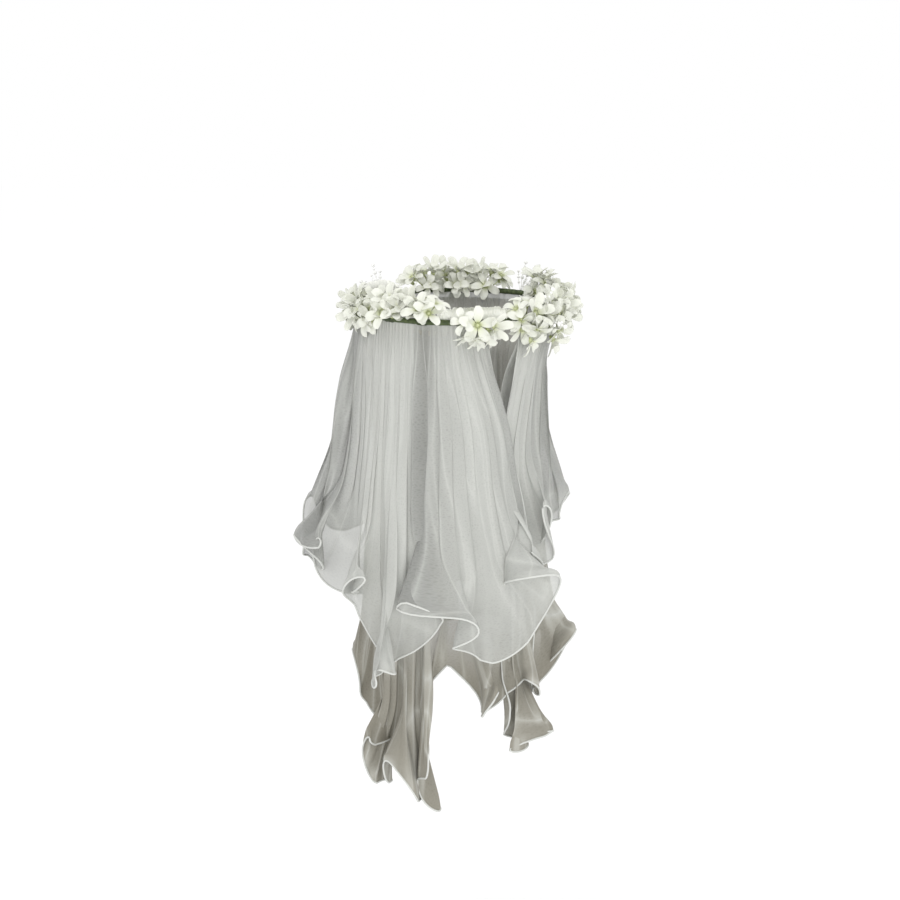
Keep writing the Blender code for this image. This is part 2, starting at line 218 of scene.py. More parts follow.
def soft_tulle(name, width, length, sheer_shade, dense, cover, warmth):
    """Sheer net: clearer in one layer and closer where it is gathered, with painted shade making one layer
    darker grey and its gathers paler.
    """
    finish = Finish(name, roughness=0.85)
    finish.set(Specular_IOR_Level=0.15, Sheen_Weight=0.1)
    gather_and_shade = finish.attribute("gather_and_shade")
    layers = finish.attribute("layers")
    behind = finish.attribute("seen")

    def cloth_noise(across, down, detail):
        """A noise with so many grains to a metre across the cloth and down it."""
        return finish.noise(finish.place("UV", (width * across, length * down, 1.0)), 1.0, detail)

    # Fine vertical streaks: painted pleat shading in the grey, and small bumps in the surface.
    streaks = cloth_noise(240.0, 4.0, 4.0)
    # Painted soft shading: broad paler and darker patches over the cloth.
    painted_soft_shade = cloth_noise(20.0, 12.0, 3.0)
    # Painted highlights: thin pale lines where folds turn edge on, fainter where the cloth is gathered; they
    # also raise the cover.
    fold_highlight_lines = finish.thin_lines(cloth_noise(70.0, 4.0, 1.0), 16.0)
    # The hems of the layers behind show through as pale wandering lines.
    hem_line = finish.thin_lines(cloth_noise(11.0, 8.0, 1.0), 34.0)
    hem_line = finish.maths("MULTIPLY", hem_line, finish.maths("MULTIPLY", behind, 0.42))
    net = finish.node("ShaderNodeTexVoronoi", feature="DISTANCE_TO_EDGE", Scale=1.0)
    finish.join(finish.place("UV", (width * 520.0, length * 520.0, 1.0)), net.inputs["Vector"])
    threads = finish.maths("MULTIPLY", net.outputs["Distance"], -0.30)

    # The grey mixes gathering and painted shade with painted pleat streaks, painted soft shading, the net's
    # threads, painted fold highlights and the hems behind.
    shade = finish.maths("ADD", gather_and_shade, finish.swing(streaks, 0.14))
    shade = finish.maths("ADD", shade, finish.swing(painted_soft_shade, 0.30))
    shade = finish.maths("ADD", shade, finish.maths("ADD", threads, 0.05))
    fold_highlight_strength = finish.maths("SUBTRACT", 0.42, finish.maths("MULTIPLY", gather_and_shade, 0.36))
    fold_highlight = finish.maths("MULTIPLY", fold_highlight_lines, fold_highlight_strength)
    shade = finish.maths("ADD", shade, finish.maths("ADD", fold_highlight, hem_line))
    middle = sheer_shade + (dense - sheer_shade) * 0.55
    stops = [(0.0, grey(sheer_shade, warmth)), (0.5, grey(middle, warmth * 0.4)), (1.0, grey(dense))]
    finish.paint(finish.ramp(shade, stops))

    closest = 0.86
    cover = finish.maths("ADD", finish.maths("MULTIPLY", gather_and_shade, closest - cover), cover)
    cover = finish.maths("ADD", cover, finish.maths("MULTIPLY", net.outputs["Distance"], -0.16))
    cover = finish.maths("ADD", cover, finish.maths("MULTIPLY", fold_highlight, 0.6))
    cover = finish.maths("ADD", cover, finish.maths("MULTIPLY", layers, 0.30))
    finish.join(cover, finish.shader.inputs["Alpha"])
    finish.bump(streaks, 0.10, 0.0005)
    return finish.material


def petal_silk():
    """White silk with a fine weave, going over to yellow-green in the throat."""
    finish = Finish("petal_silk", roughness=0.62)
    finish.set(Sheen_Weight=0.25, Specular_IOR_Level=0.3, Alpha=0.84)
    throat = finish.attribute("throat")
    mottle = finish.noise(finish.place("Object"), 160.0, 4.0)
    share = finish.maths("ADD", throat, finish.swing(mottle, 0.3))
    stops = [
        (0.0, (0.81, 0.82, 0.745)),
        (0.45, (0.77, 0.79, 0.65)),
        (0.8, (0.64, 0.69, 0.38)),
        (1.0, (0.34, 0.40, 0.12)),
    ]
    finish.paint(finish.ramp(share, stops))
    weave = finish.noise(finish.place("Object"), 1400.0, 2.0)
    finish.bump(weave, 0.3, 0.0002)
    return finish.material


def floral_tape():
    finish = Finish("floral_tape", roughness=0.7)
    grain = finish.noise(finish.place("Object"), 420.0, 4.0)
    stops = [(0.25, (0.018, 0.030, 0.008)), (0.55, (0.060, 0.085, 0.028)), (0.85, (0.13, 0.16, 0.065))]
    finish.paint(finish.ramp(grain, stops))
    finish.bump(grain, 0.5, 0.0004)
    return finish.material


def stem_green():
    """Yellow-green stems, going over to dark tape where they are bound to the hoop."""
    finish = Finish("stem_green", roughness=0.6)
    bound = finish.attribute("bound")
    grain = finish.noise(finish.place("Object"), 300.0, 3.0)
    share = finish.maths("ADD", bound, finish.swing(grain, 0.5))
    stops = [
        (0.0, (0.50, 0.54, 0.28)),
        (0.35, (0.33, 0.39, 0.15)),
        (0.75, (0.075, 0.10, 0.035)),
        (1.0, (0.03, 0.045, 0.014)),
    ]
    finish.paint(finish.ramp(share, stops))
    finish.bump(grain, 0.3, 0.0003)
    return finish.material


def ivory_satin():
    finish = Finish("ivory_satin", roughness=0.38)
    finish.set(Sheen_Weight=0.3, Anisotropic=0.4)
    threads = finish.noise(finish.place("UV", (20.0, 900.0, 1.0)), 1.0, 2.0)
    finish.paint(finish.ramp(threads, [(0.2, (0.80, 0.81, 0.73)), (0.8, (0.90, 0.90, 0.85))]))
    finish.bump(threads, 0.2, 0.0002)
    return finish.material


def hem_cord():
    finish = Finish("hem_cord", roughness=0.5)
    twist = finish.node("ShaderNodeTexWave", wave_type="BANDS", Scale=1.0, Distortion=1.0)
    twist.bands_direction = "X"
    finish.join(finish.place("UV", (900.0, 6.0, 1.0)), twist.inputs["Vector"])
    finish.paint(finish.ramp(twist.outputs["Fac"], [(0.0, (0.52, 0.53, 0.50)), (1.0, (0.70, 0.71, 0.68))]))
    finish.bump(twist.outputs["Fac"], 0.4, 0.0003)
    return finish.material


def pearl():
    finish = Finish("pearl_bead", roughness=0.18)
    finish.set(Coat_Weight=0.6, Coat_Roughness=0.08)
    cloud = finish.noise(finish.place("Object"), 260.0, 2.0)
    finish.paint(finish.ramp(cloud, [(0.3, (0.80, 0.80, 0.78)), (0.7, (0.93, 0.93, 0.91))]))
    return finish.material


def bare_wire():
    finish = Finish("bare_wire", roughness=0.35, metallic=1.0)
    scratch = finish.noise(finish.place("Object"), 900.0, 2.0)
    finish.paint(finish.ramp(scratch, [(0.3, (0.45, 0.45, 0.46)), (0.7, (0.62, 0.62, 0.63))]))
    return finish.material


# --- The veil -------------------------------------------------------------------------------


def ease(x):
    x = np.clip(x, 0.0, 1.0)
    return x * x * (3.0 - 2.0 * x)


def wander(x, seed, steps=9):
    """A smooth, repeatable wandering line between about -1 and 1."""
    rng = np.random.default_rng(seed)
    total = np.zeros_like(x)
    for k in range(steps):
        height = rng.uniform(0.4, 1.0)
        wave = np.sin(x * (k + 1) * rng.uniform(0.8, 1.2) + rng.uniform(0, 6.283))
        total += height * wave / (k + 1) ** 0.6
    return total / 2.2


def from_table(table, at):
    """The table's value at each place, in a straight line between its keys."""
    keys = sorted(table)
    return np.interp(at, keys, [table[k] for k in keys])


def take_up(fullness):
    """How many times its own length of cloth the hoop holds, for a fullness from 0 to 1."""
    return 1.30 + 2.6 * fullness


class VeilTier:
    """One gathered sheet of tulle, from its header down to its corded hem.

    drop is how far it falls, along the hoop, and rounding how much of that its front corners lose.
    inset is how far in from the hoop it hangs, and hidden how much of its fall another tier covers.
    out is how far its foot stands out, by direction, and swing how far the whole foot leans in x and y.
    curl is the size of the hem's curls, and swirls are the large ones: (place, spread, reach, rise).
    thinning is how much thinner the gathering is low down, and so how much darker its painted shade is there,
    and doubling how much more it covers there.
    top is its height on the hoop, start the place in the run of folds where it begins, and seed its chance.
    """

    COLUMNS, ROWS = 720, 110

    # How full the cloth is along the hoop: two close gathers beside the slit, thin at the sides.
    FULLNESS = {
        305: 0.70, 316: 0.75, 326: 0.45, 336: 0.22, 348: 0.10, 362: 0.10, 400: 0.25, 450: 0.30, 500: 0.22,
        532: 0.10, 548: 0.06, 558: 0.20, 570: 0.80, 584: 1.00, 604: 0.95, 608: 0.35, 610: 0.12, 613: 0.12,
        616: 0.55, 622: 0.85, 630: 0.92, 638: 0.70, 645: 0.36,
    }
    # How far round the cloth drifts as it falls, near the hoop and further down, in degrees.
    DRIFT = {
        305: -13.0, 325: -14.0, 345: -9.0, 362: 0.0, 540: 0.0, 556: 8.0, 572: 6.0, 590: 3.0,
        606: 2.0, 614: 2.0, 622: 8.0, 634: 15.0, 645: 16.0,
    }
    LOW_DRIFT = {
        305: 8.0, 320: 3.0, 335: 0.0, 560: 0.0, 575: 4.0, 604: 4.0, 614: 5.0, 626: 11.0, 645: 17.0,
    }

    def __init__(
        self,
        name,
        drop,
        rounding,
        inset,
        hidden,
        out,
        swing,
        curl,
        swirls,
        thinning,
        doubling,
        top,
        start,
        seed,
    ):
        self.name = name
        self.drop = drop
        self.rounding = rounding
        self.inset = inset
        self.hidden = hidden
        self.out = out
        self.swing = swing
        self.curl = curl
        self.swirls = swirls
        self.thinning = thinning
        self.doubling = doubling
        self.top = top
        self.start = start
        self.seed = seed
        self.lay_out()
        self.hang()
        self.shade()

    def lay_out(self):
        """Shares the cloth out along the hoop, in columns that fall from it and rows from header to hem."""
        fine = np.linspace(SLIT_END, SLIT_START, 4000)
        steps = np.gradient(fine) * math.pi / 180.0 * HOOP_RADIUS * take_up(from_table(self.FULLNESS, fine))
        cloth_at = np.concatenate([[0.0], np.cumsum(steps)[:-1]])
        self.width = float(cloth_at[-1])
        cloth = np.linspace(0.0, self.width, self.COLUMNS + 1)
        hoop_angle = np.interp(cloth, cloth_at, fine)

        corner_radius = 0.09
        edge = np.minimum(cloth, self.width - cloth) / corner_radius
        corner = np.sqrt(np.clip(1.0 - (1.0 - np.clip(edge, 0.0, 1.0)) ** 2, 0.0, 1.0))
        drop = from_table(self.drop, hoop_angle) * (1.0 - self.rounding * (1.0 - corner))
        drop = drop + 0.010 * wander((cloth + self.start) * 14.0, self.seed + 5)
        self.length = float(drop.max())

        # The rows lie a little closer together towards the hem.
        rows = np.linspace(0.0, 1.0, self.ROWS + 1)[:, None] ** 0.92
        self.fall = drop[None, :] * rows
        along = (cloth, from_table(self.FULLNESS, hoop_angle), hoop_angle)
        self.cloth, self.full, self.angle = (np.repeat(a[None, :], self.ROWS + 1, 0) for a in along)
        self.run = self.cloth + self.start
        above_hem = drop[None, :] - self.fall
        self.near_hem = ease(1.0 - above_hem / 0.095)
        self.tip = ease(1.0 - above_hem / 0.030)
        self.low = ease((self.fall - 0.62 * drop[None, :]) / (0.16 * drop[None, :]))

        drift = from_table(self.DRIFT, hoop_angle)[None, :] * ease(self.fall / 0.12)
        drift = drift + from_table(self.LOW_DRIFT, hoop_angle)[None, :] * ease((self.fall - 0.10) / 0.15)
        self.theta = np.radians(self.angle + drift)

    def fold(self):
        """Pleats at the header run together into uneven folds, which open out again above the hem."""
        fall, run = self.fall, self.run
        bend = 1.7 * wander(run * 38.0 + 2.0 * fall / 0.3, self.seed, 5)
        bend = bend + 0.6 * np.sin(fall * 19.0 + run * 27.0)
        self.phase = 2 * math.pi * run / PLEAT_CLOTH + bend
        self.fold_share = ease((fall - 0.004) / 0.06) * (1.0 - 0.80 * self.near_hem)
        pleat_share = 1.0 - ease((fall - 0.008) / 0.060)
        wave_share = ease((fall - 0.08) / 0.16)
        depth = 0.60 + 0.40 * wander(run * 21.0 + fall * 9.0, self.seed + 7, 4)
        spacing = PLEAT_CLOTH / take_up(self.full)

        pleats = 0.0005 * np.sin(self.phase * 3.0 + 0.7) * pleat_share
        folds = 0.34 * depth * spacing * np.sin(self.phase) * self.fold_share
        folds = folds * (1.0 - 0.62 * self.full) * (1.0 - 0.35 * wave_share)
        slow = self.phase * 0.42 + 1.1 + 0.8 * wander(run * 17.0, self.seed + 1, 4)
        waves = 0.0050 * np.sin(slow) * wave_share
        waves *= 1.0 - 0.5 * self.near_hem
        lean = 0.24 * depth * spacing * np.sin(2.0 * self.phase + 0.5) * self.fold_share
        if self.hidden:
            # A tier lies flatter where another one covers it.
            calm = 1.0 - 0.85 * ease((self.hidden - fall) / 0.04)
            folds, waves = folds * calm, waves * calm
        return pleats, folds, waves, lean

    def spring_hem(self):
        """The corded hem springs out into curls, with a ruffle at its tip and a few large swirls."""
        near_hem = self.near_hem
        roll = 2 * math.pi * self.run / CURL_CLOTH + 1.3 * wander(self.run * 15.0, self.seed + 2, 5)
        size = self.curl * (0.85 + 0.35 * wander(self.run * 20.0, self.seed + 3, 5))
        self.flare = 0.5 + 0.5 * np.sin(roll)
        outward = size * (1.7 * self.flare - 0.45) * near_hem
        sideways = -1.05 * CURL_CLOTH / take_up(self.full) / (2 * math.pi) * np.sin(2.0 * roll) * near_hem
        sideways += 0.35 * size * np.cos(roll) * near_hem
        upward = size * (1.0 * self.flare**2) * near_hem + 1.1 * size * self.tip * self.flare**3

        ruffle = 0.34 * size * self.tip
        outward += ruffle * np.cos(2.1 * roll)
        sideways += ruffle * np.sin(2.3 * roll + 1.0)
        upward += ruffle * np.sin(1.7 * roll + 0.5)

        for place, spread, reach, rise in self.swirls:
            across = np.clip((self.angle - place) / spread, -1.0, 1.0)
            body = (0.5 + 0.5 * np.cos(across * math.pi)) * near_hem
            sideways += -reach * np.sin(across * math.pi) * near_hem * (np.abs(across) < 1.0)
            upward += rise * body
            outward += 0.45 * abs(reach) * body
        return outward, sideways, upward

    def hang(self):
        """Works out where each point of the sheet hangs."""
        fall = self.fall
        pleats, folds, waves, lean = self.fold()
        outward, sideways, upward = self.spring_hem()
        heading = np.degrees(self.theta)
        lie = from_table(self.out, heading % 360.0) * np.clip((fall - self.hidden) / 0.225, 0.0, 1.0) ** 1.2
        # The cloth is drawn in for a while below the hoop's right side, and laps over at the slit.
        pinch = -0.016 * np.exp(-(((heading + 180.0) % 360.0 - 180.0 - 5.0) / 42.0) ** 2)
        pinch = pinch * ease(fall / 0.05) * (1.0 - ease((fall - 0.06) / 0.15))
        lap = 0.0045 * ease((self.angle - 600.0) / 40.0) * ease(fall / 0.06)
        radius = HOOP_RADIUS - self.inset * ease(fall / 0.05) + lie + pinch + lap
        radius = radius + pleats + folds + waves + outward
        turn = self.theta + (lean + sideways) / HOOP_RADIUS
        sway = ease(fall / 0.30)
        x = radius * np.cos(turn) + self.swing[0] * sway
        y = radius * np.sin(turn) + self.swing[1] * sway
        z = self.top - fall + upward
        self.points = np.stack([x, y, z], axis=-1)

    def shade(self):
        """Gathered cloth is many layers deep and so painted paler, and a fold's flank, which shows its layers
        edge on, is painted paler too: this grey is painted shade.
        """
        full, fall = self.full, self.fall
        flank = np.abs(np.cos(self.phase)) * self.fold_share
        # Painted light: up to 500 degrees, fading out by 520, the cloth is painted paler to make up for the
        # shade it hangs in.
        closeness_and_far_lightening = 0.88 * full + 0.26 * ease((520.0 - self.angle) / 20.0)
        gather_and_shade = 0.04 + closeness_and_far_lightening * (1.0 - self.thinning * ease((fall - 0.21) / 0.13))
        # Fold flanks, the cloth just under the header and the hem's outward curls are painted paler, partly
        # as closer cloth and partly as painted shade.
        gather_and_shade += 0.14 * (flank - 0.5) * (1.0 - 0.6 * full) + 0.18 * np.exp(-fall / 0.016)
        gather_and_shade += 0.06 * self.near_hem * self.flare
        self.gather_and_shade = np.clip(gather_and_shade, 0.0, 1.0)
        full_share = np.clip(full / 0.5, 0.0, 1.0) if self.doubling < 0.0 else 1.0
        self.layers = self.doubling * ease((fall - 0.22) / 0.12) * full_share

    def build(self, finish):
        rows, columns = self.points.shape[:2]
        grid = np.arange(rows * columns).reshape(rows, columns)
        quads = np.stack([grid[:-1, :-1], grid[1:, :-1], grid[1:, 1:], grid[:-1, 1:]], axis=-1).reshape(-1, 4)
        mesh = bpy.data.meshes.new(self.name)
        mesh.from_pydata(self.points.reshape(-1, 3).tolist(), [], quads.tolist())
        flat = np.stack([self.cloth / self.width, 1.0 - self.fall / self.length], axis=-1).reshape(-1, 2)
        layer = mesh.uv_layers.new(name="cloth")
        layer.data.foreach_set("uv", flat[quads.reshape(-1)].astype(np.float32).reshape(-1))
        # The gathering value, with its painted shade, picks the tulle's grey.
        mark(mesh, "gather_and_shade", self.gather_and_shade)
        mark(mesh, "layers", self.layers)
        mark(mesh, "seen", self.low)
        mesh.shade_smooth()
        mesh.materials.append(finish)
        sheet = bpy.data.objects.new(self.name, mesh)
        bpy.context.scene.collection.objects.link(sheet)
        return sheet

    def area(self):
        """The shaped sheet's own area, hem as it runs."""
        p = self.points
        a, b = p[1:, :-1] - p[:-1, :-1], p[:-1, 1:] - p[:-1, :-1]
        return float(np.linalg.norm(np.cross(a, b), axis=-1).sum())

    def free_edge(self):
        """Points down one front edge, along the hem and up the other."""
        first = 6
        down = self.points[first:-1, 0]
        along = self.points[-1]
        up = self.points[first:-1, -1][::-1]
        swell = np.linspace(0.45, 1.0, len(down)) ** 2
        return np.concatenate([down, along, up]), np.concatenate([swell, np.ones(len(along)), swell[::-1]])


def corded_hem(name, path, swell, thickness, finish):
    """A round cord that follows the cloth's edge, finer towards the hoop."""
    sides = 7
    count = len(path)
    tangent = np.gradient(path, axis=0)
    tangent /= np.linalg.norm(tangent, axis=1)[:, None] + 1e-12
    normal = np.cross(tangent, [0.31, 0.22, 0.925])
    normal /= np.linalg.norm(normal, axis=1)[:, None] + 1e-12
    side = np.cross(tangent, normal)
    turns = np.linspace(0.0, 2 * math.pi, sides, endpoint=False)
    rings = path[:, None] + thickness * swell[:, None, None] * (
        np.cos(turns)[None, :, None] * normal[:, None] + np.sin(turns)[None, :, None] * side[:, None]
    )
    along = np.concatenate([[0.0], np.cumsum(np.linalg.norm(np.diff(path, axis=0), axis=1))])
    faces, uv = [], []
    for k in range(count - 1):
        for j in range(sides):
            n = (j + 1) % sides
            faces.append((k * sides + j, k * sides + n, (k + 1) * sides + n, (k + 1) * sides + j))
            a, b = along[k] / along[-1], along[k + 1] / along[-1]
            uv += [(a, j / sides), (a, (j + 1) / sides), (b, (j + 1) / sides), (b, j / sides)]
    faces.append(tuple(range(sides))[::-1])
    faces.append(tuple((count - 1) * sides + j for j in range(sides)))
    uv += [(0.0, 0.0)] * sides + [(1.0, 0.0)] * sides
    mesh = bpy.data.meshes.new(name)
    mesh.from_pydata(rings.reshape(-1, 3).tolist(), [], faces)
    layer = mesh.uv_layers.new(name="cord")
    layer.data.foreach_set("uv", np.array(uv, np.float32).reshape(-1))
    mesh.shade_smooth()
    mesh.materials.append(finish)
    cord = bpy.data.objects.new(name, mesh)
    bpy.context.scene.collection.objects.link(cord)
    return cord


def hang_veil():
    upper = VeilTier(
        "upper_veil",
        drop={
            305: 0.235, 314: 0.222, 324: 0.203, 340: 0.195, 360: 0.190, 450: 0.250, 528: 0.205, 538: 0.218,
            550: 0.232, 562: 0.236, 576: 0.244, 584: 0.262, 589: 0.300, 594: 0.318, 600: 0.306, 606: 0.262,
            611: 0.250, 618: 0.280, 626: 0.296, 638: 0.268, 645: 0.245,
        },
        rounding=0.10,
        inset=0.0,
        hidden=0.0,
        out={
            0: 0.000, 60: 0.012, 90: 0.018, 150: 0.031, 178: 0.043, 192: 0.041, 215: 0.030, 250: 0.022,
            290: 0.016, 330: 0.004, 360: 0.000,
        },
        swing=(-0.006, 0.0),
        curl=0.0125,
        swirls=[
            (581.0, 8.0, 0.013, 0.018), (594.0, 9.0, 0.010, 0.004), (609.0, 7.0, 0.010, 0.016),
            (621.0, 8.0, 0.012, 0.020), (636.0, 11.0, 0.024, 0.036), (312.0, 10.0, 0.014, 0.020),
            (328.0, 9.0, 0.012, 0.016), (541.0, 9.0, 0.006, -0.010), (552.0, 7.0, 0.014, 0.022),
            (562.0, 7.0, 0.015, 0.024),
        ],
        thinning=0.50,
        doubling=-0.42,
        top=header_high.z - 0.001,
        start=0.0,
        seed=11,
    )
    lower = VeilTier(
        "lower_veil",
        drop={
            305: 0.385, 322: 0.392, 338: 0.335, 360: 0.320, 450: 0.300, 540: 0.335, 552: 0.350, 562: 0.400,
            574: 0.428, 597: 0.432, 603: 0.418, 609: 0.372, 613: 0.320, 616: 0.298, 620: 0.345, 628: 0.358,
            634: 0.330, 640: 0.345, 645: 0.365,
        },
        rounding=0.12,
        inset=0.0135,
        hidden=0.17,
        out={0: 0.016, 90: 0.003, 180: 0.010, 230: 0.006, 270: 0.004, 330: 0.014, 360: 0.016},
        swing=(0.0, 0.0),
        curl=0.0125,
        swirls=[
            (586.0, 15.0, -0.018, 0.016), (566.0, 9.0, 0.014, 0.022), (330.0, 11.0, 0.018, 0.022),
            (314.0, 9.0, 0.010, 0.010), (626.0, 10.0, 0.012, 0.016), (346.0, 10.0, 0.018, 0.024),
        ],
        thinning=0.90,
        doubling=1.2,
        top=header_low.z + 0.002,
        start=0.0473,
        seed=29,
    )
    cord = hem_cord()
    cord_radius = 0.00085
    gathered_grey = 0.535
    # Each tier's single-layer grey is painted shade, darker than the paler gathered grey.
    for tier, node, header, sheer_shade_grey, cover, warmth in (
        (upper, "veil_upper", ("veil_header",), 0.26, 0.64, 0.0),
        (lower, "veil_lower", (), 0.185, 0.66, 0.09),
    ):
        greys = (sheer_shade_grey, gathered_grey)
        tulle = soft_tulle(tier.name + "_tulle", tier.width, tier.length, *greys, cover, warmth)
        sheet = tier.build(tulle)
        hem = corded_hem(tier.name + "_hem", *tier.free_edge(), cord_radius, cord)
        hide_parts(node + "_tier", *header)
        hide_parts(node + "_hem")
        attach(sheet, "root")
        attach(hem, "root")
        area = tier.area()
        print(tier.name, "width, length, area", round(tier.width, 3), round(tier.length, 3), round(area, 4))


# --- The hoop -------------------------------------------------------------------------------


def finished(name, finish, slot, *nodes):
    """The active object named, given its finish and tied to the crown."""
    piece = bpy.context.object
    piece.select_set(True)
    piece.name = name
    piece.data.materials.clear()
    piece.data.materials.append(finish)
    bpy.ops.object.shade_smooth()
    if nodes:
        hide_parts(*nodes)
    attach(piece, "root")
    bpy.ops.object.select_all(action="DESELECT")
    return piece


def thicken(piece, wall, smoothing):
    """Gives a sheet its thickness, and smooths it so many times."""
    thickness = piece.modifiers.new("wall", "SOLIDIFY")
    thickness.thickness = wall
    smooth = piece.modifiers.new("smooth", "SUBSURF")
    smooth.levels = smooth.render_levels = smoothing
    for modifier in list(piece.modifiers):
        bpy.ops.object.modifier_apply(modifier=modifier.name)


def pick(test):
    """In edit mode, selects just the vertices whose place passes the test."""
    mesh = bpy.context.object.data
    bpy.ops.mesh.select_mode(type="VERT")
    bpy.ops.mesh.select_all(action="DESELECT")
    bpy.ops.object.mode_set(mode="OBJECT")
    for vertex in mesh.vertices:
        vertex.select = bool(test(vertex.co))
    bpy.ops.object.mode_set(mode="EDIT")


def polar(co):
    """How far round the hoop a place is, from 0 to 360 degrees."""
    return math.degrees(math.atan2(co.y, co.x)) % 360.0


def hoop_out(angle):
    """The way outwards at that angle on the hoop."""
    return Vector((math.cos(math.radians(angle)), math.sin(math.radians(angle)), 0.0))


def wrap_hoop(finish):
    """The taped hoop: a slim ring with a low ridge at each turn of the tape."""
    segments = 288
    bpy.ops.mesh.primitive_torus_add(
        major_radius=HOOP_RADIUS, minor_radius=TAPE_RADIUS, major_segments=segments, minor_segments=14
    )
    bpy.ops.object.mode_set(mode="EDIT")
    # Each turn of the tape takes up four of the ring's segments, and is thickest at the first of them.
    for place, swell in ((0, 0.00022), (1, 0.00012)):
        pick(lambda co: round(polar(co) * segments / 360.0) % 4 == place)
        bpy.ops.transform.shrink_fatten(value=swell)
    bpy.ops.object.mode_set(mode="OBJECT")
    return finished("hoop_tape", finish, "floral_tape", "floral_tape_wrap")


# --- Satin ribbon ---------------------------------------------------------------------------


def lay_ribbon(name, first, last, lift, seed, finish):
    """A length of satin laid inside the hoop: a hoop-wide band cut to its span, then softly rumpled."""
    low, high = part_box(name)
    depth = high.z - low.z
    rows = 4
    rise = depth / rows
    clearance = 0.0006
    bpy.ops.mesh.primitive_cylinder_add(
        vertices=180,
        radius=HOOP_RADIUS - TAPE_RADIUS - clearance,
        depth=depth,
        end_fill_type="NOTHING",
        location=(0.0, 0.0, low.z + depth / 2),
    )
    bpy.ops.object.transform_apply(location=True)
    bpy.ops.object.mode_set(mode="EDIT")
    pick(lambda co: not first <= polar(co) <= last)
    bpy.ops.mesh.delete(type="VERT")
    bpy.ops.mesh.select_all(action="SELECT")
    bpy.ops.mesh.subdivide(number_cuts=rows - 1)
    # The band bellies out between its edges, and its top edge turns over on to the tape.
    for row, swell in ((1, 1.008), (2, 1.014), (3, 1.010)):
        level = low.z + rise * row
        pick(lambda co: abs(co.z - level) < rise / 3)
        bpy.ops.transform.resize(value=(swell, swell, 1.0), center_override=(0.0, 0.0, level))
    pick(lambda co: co.z > high.z - rise / 3)
    bpy.ops.mesh.extrude_edges_move(TRANSFORM_OT_translate={"value": (0.0, 0.0, lift)})
    bpy.ops.transform.resize(value=(1.035, 1.035, 1.0), center_override=(0.0, 0.0, high.z))
    # Its two ends taper.
    for margin, share in ((10.0, 0.86), (6.5, 0.80), (3.5, 0.70)):
        pick(lambda co: min(polar(co) - first, last - polar(co)) < margin)
        bpy.ops.transform.resize(value=(1.0, 1.0, share), center_override=(0.0, 0.0, low.z + 0.35 * depth))
    bpy.ops.mesh.select_all(action="SELECT")
    bpy.ops.transform.vertex_random(offset=0.0011, seed=seed)
    bpy.ops.uv.cylinder_project(direction="ALIGN_TO_OBJECT", scale_to_bounds=True)
    bpy.ops.object.mode_set(mode="OBJECT")
    thicken(bpy.context.object, wall=0.0005, smoothing=2)
    return finished(name + "_band", finish, "satin_ribbon", name)


# --- Flowers --------------------------------------------------------------------------------


def petal_star(spread, rise, droop, twist):
    """Five silk petals round a throat, along +Z, with the throat's foot at the origin."""
    length, width, rows = 0.0128, 0.0085, 6
    edge_lift, crease_depth = 0.0009, 0.0004
    petal_foot = (0.0, 0.0022, 0.0056)
    bpy.ops.mesh.primitive_grid_add(x_subdivisions=4, y_subdivisions=rows, size=1.0)
    bpy.ops.object.mode_set(mode="EDIT")
    bpy.ops.mesh.select_all(action="SELECT")
    bpy.ops.transform.resize(value=(width, length, 1.0), center_override=ORIGIN)
    bpy.ops.transform.translate(value=(0.0, length / 2, 0.0))
    # Row by row from the foot, how wide the petal is. It rises from the throat and droops to its tip.
    for row, share in enumerate((0.40, 0.66, 0.90, 1.02, 0.98, 0.78, 0.40)):
        place = length * row / rows
        pick(lambda co: abs(co.y - place) < length / rows / 3)
        bpy.ops.transform.resize(value=(share, 1.0, 1.0), center_override=(0.0, place, 0.0))
        t = row / rows
        bpy.ops.transform.translate(value=(0.0, 0.0, rise * length * t - droop * length * t**2.4))
    pick(lambda co: abs(co.x) > width * 0.30)
    bpy.ops.transform.translate(value=(0.0, 0.0, edge_lift))
    pick(lambda co: abs(co.x) < width * 0.10 and co.y > length * 0.2)
    bpy.ops.transform.translate(value=(0.0, 0.0, -crease_depth))
    bpy.ops.mesh.select_all(action="SELECT")
    bpy.ops.transform.rotate(value=math.radians(twist), orient_axis="Y", center_override=ORIGIN)
    bpy.ops.transform.resize(value=(1.0, spread, 1.0), center_override=ORIGIN)
    bpy.ops.transform.translate(value=petal_foot)
    bpy.ops.mesh.spin(steps=4, dupli=True, angle=math.radians(288.0), center=ORIGIN, axis=(0.0, 0.0, 1.0))
    bpy.ops.mesh.select_all(action="SELECT")
    bpy.ops.mesh.remove_doubles(threshold=0.00002)
    bpy.ops.mesh.normals_make_consistent(inside=False)
    bpy.ops.object.mode_set(mode="OBJECT")
    petals = bpy.context.object
    thicken(petals, wall=0.00028, smoothing=1)

    # The throat is a narrow cone, hollowed at its mouth round a small heart.
    throat_length = 0.0060
    bpy.ops.mesh.primitive_cone_add(
        vertices=12,
        radius1=0.0015,
        radius2=0.0027,
        depth=throat_length,
        end_fill_type="NGON",
        location=(0.0, 0.0, throat_length / 2),
    )
    bpy.ops.object.mode_set(mode="EDIT")
    pick(lambda co: co.z > 0.0)
    bpy.ops.mesh.inset(thickness=0.0009)
    bpy.ops.transform.translate(value=(0.0, 0.0, -0.0016))
    bpy.ops.mesh.inset(thickness=0.0007)
    bpy.ops.transform.translate(value=(0.0, 0.0, 0.0018))
    bpy.ops.object.mode_set(mode="OBJECT")
    petals.select_set(True)
    bpy.context.view_layer.objects.active = petals
    bpy.ops.object.join()
    return bpy.context.object


def mark(mesh, attribute, values):
    shade = mesh.attributes.new(attribute, "FLOAT", "POINT")
    shade.data.foreach_set("value", values.reshape(-1).astype(np.float32))


